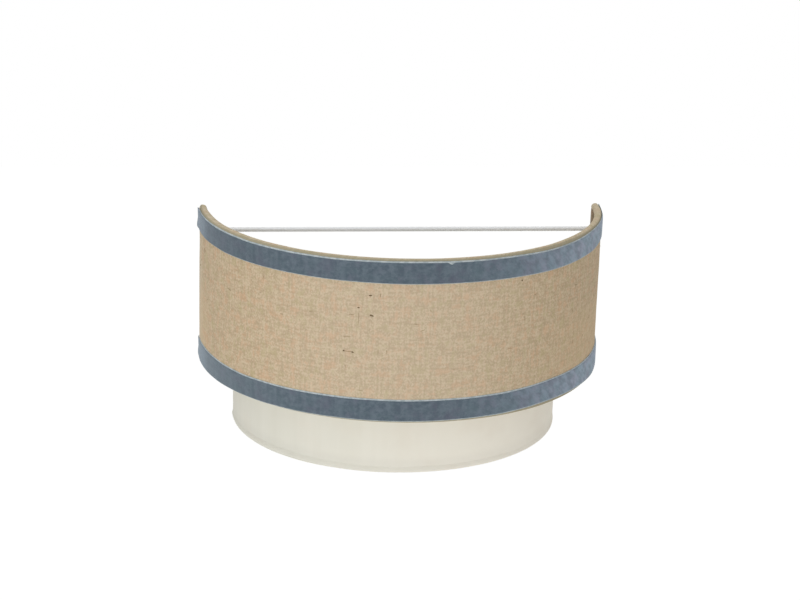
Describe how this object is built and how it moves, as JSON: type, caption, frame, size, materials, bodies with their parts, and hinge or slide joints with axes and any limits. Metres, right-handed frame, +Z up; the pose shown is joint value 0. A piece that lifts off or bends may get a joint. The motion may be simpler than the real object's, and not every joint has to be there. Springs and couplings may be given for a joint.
{
  "type": "fabric shade wall light",
  "caption": "Half-round fabric wall light: a jute drum edged with velvet ribbon over a smaller off-white drum, hung on a slotted wall bracket with an upright lampholder and bulb.",
  "frame": {"origin": "on the wall, midway between the two fixing slots of the wall plate", "axes": "+Z up, +Y into the wall, +X to the right as seen by someone who faces the light"},
  "size_m": [0.35, 0.1755, 0.1935],
  "materials": {
    "jute": "natural plain weave",
    "velvet": "short blue-grey pile with pale selvedges",
    "cream_cloth": "smooth off-white cotton",
    "liner_film": "satin film",
    "white_wire": "white lacquer",
    "white_sheet": "white powder coat",
    "zinc_steel": "zinc plated",
    "brass": "plain",
    "grommet_rubber": "soft black",
    "white_plastic": "moulded",
    "holder_plastic": "moulded, glossy",
    "holder_ceramic": "unglazed white",
    "lead_sleeve": "white sleeve",
    "earth_sleeve": "green and yellow",
    "opal_globe": "opal",
    "bulb_white": "moulded",
    "cap_metal": "nickel plated, rolled thread",
    "black_glass": "black insulator",
    "board_white": "printed board"
  },
  "bodies": {
    "wall_bracket": {"wall_plate": "white_sheet", "shade_hooks": "white_sheet", "lamp_arm": "white_sheet", "arm_rivets": "zinc_steel", "cable_grommet": "grommet_rubber", "terminal_block": "white_plastic", "terminal_inserts": "brass", "terminal_screws": "zinc_steel", "terminal_cover": "white_plastic", "cover_pillar": "zinc_steel", "cover_screw": "zinc_steel", "earth_screw": "zinc_steel", "earth_tag": "zinc_steel", "earth_lead": "earth_sleeve", "lamp_lead": "lead_sleeve", "holder_nipple": "zinc_steel", "nipple_nut": "zinc_steel", "holder_cap": "holder_plastic", "holder_shell": "holder_plastic", "holder_insert": "holder_ceramic", "screw_sleeve": "brass", "centre_contact": "brass"},
    "shade": {"outer_top_ring": "white_wire", "outer_bottom_ring": "white_wire", "outer_end_struts": "white_wire", "upper_back_bar": "white_wire", "hanging_bar": "white_wire", "inner_end_struts": "white_wire", "tier_links": "white_wire", "inner_top_ring": "white_wire", "inner_bottom_ring": "white_wire", "top_rim_binding": "jute", "bottom_rim_binding": "jute", "inner_top_binding": "cream_cloth", "inner_bottom_binding": "cream_cloth", "jute_cover": "jute", "outer_liner": "liner_film", "top_velvet_ribbon": "velvet", "bottom_velvet_ribbon": "velvet", "inner_cover": "cream_cloth", "inner_liner": "liner_film"},
    "bulb": {"bulb_globe": "opal_globe", "bulb_collar": "bulb_white", "led_board": "board_white", "bulb_cap": "cap_metal", "bulb_insulator": "black_glass", "bulb_contact": "brass"}
  },
  "joints": [
    {"name": "shade_lift", "type": "slide", "parent": "wall_bracket", "child": "shade", "axis": [0, 0, 1], "range_m": [0, 0.012]},
    {"name": "bulb_unscrew", "type": "slide", "parent": "wall_bracket", "child": "bulb", "axis": [0, 0, 1], "range_m": [0, 0.03]}
  ]
}
